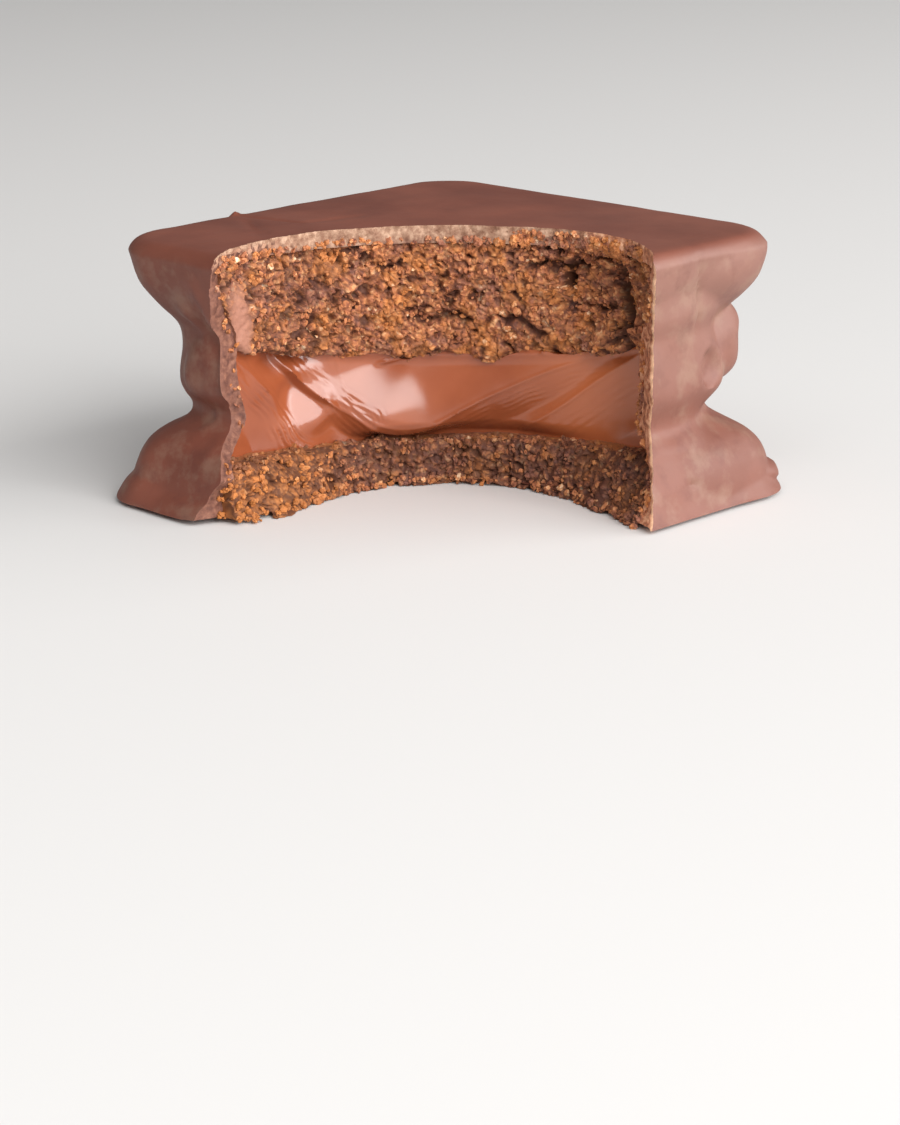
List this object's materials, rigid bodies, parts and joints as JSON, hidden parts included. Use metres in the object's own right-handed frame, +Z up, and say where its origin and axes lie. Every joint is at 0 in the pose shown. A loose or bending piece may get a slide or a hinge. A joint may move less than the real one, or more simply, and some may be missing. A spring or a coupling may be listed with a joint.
{
  "type": "alfajor cookie",
  "caption": "Square chocolate-coated alfajor cookie with one corner bitten off, showing crumbly biscuit above and below a thick layer of smooth chocolate cream.",
  "frame": {"origin": "middle of the bounding box's base, on the surface that the cookie rests on", "axes": "+Z up, X and Y along the square's sides, the bitten corner towards +X -Y"},
  "size_m": [0.0552, 0.0554, 0.0293],
  "materials": {
    "coating": "satin milk chocolate, slightly uneven",
    "upper_biscuit": "open baked crumb, matte",
    "filling": "smooth glossy chocolate cream",
    "lower_biscuit": "open baked crumb, matte"
  },
  "bodies": {
    "root": {"coating": "coating", "upper_biscuit": "upper_biscuit", "filling": "filling", "lower_biscuit": "lower_biscuit"}
  },
  "joints": []
}
